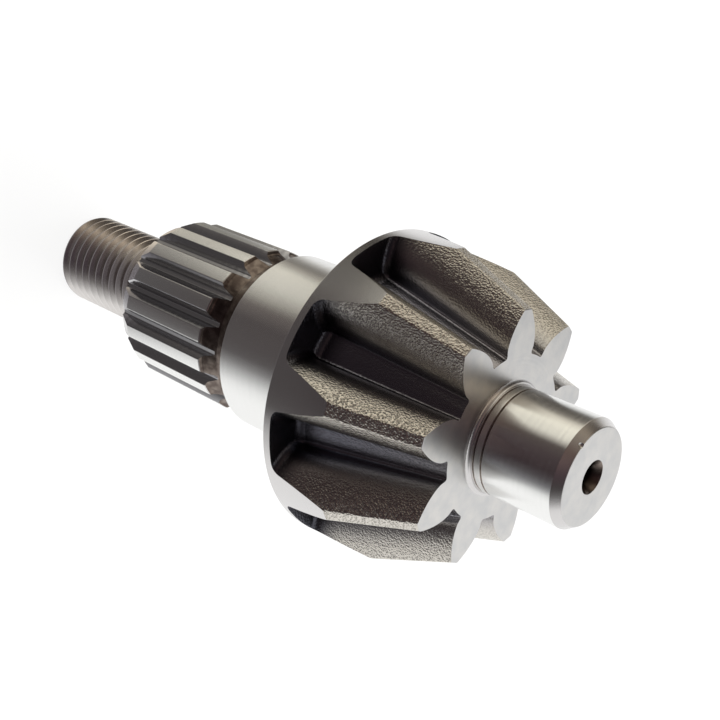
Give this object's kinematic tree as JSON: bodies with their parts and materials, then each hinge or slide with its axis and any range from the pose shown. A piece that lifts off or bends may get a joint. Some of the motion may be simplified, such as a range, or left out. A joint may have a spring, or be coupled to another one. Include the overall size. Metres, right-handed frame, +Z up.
{
  "type": "bevel gear shaft",
  "caption": "Steel bevel pinion made in one piece with its shaft, with a splined and threaded tail, a main bearing journal and a pilot journal.",
  "frame": {"origin": "middle of the threaded end's face, on the shaft's axis", "axes": "+Z up the shaft's axis, from the threaded end to the pilot journal; +X through the middle of one bevel tooth and of one spline tooth"},
  "size_m": [0.048, 0.048, 0.1112],
  "materials": {
    "gear_steel": "forged tooth spaces left as blasted, turned outside and end faces, ground journals"
  },
  "bodies": {
    "root": {"gear_shaft": "gear_steel"}
  },
  "joints": []
}
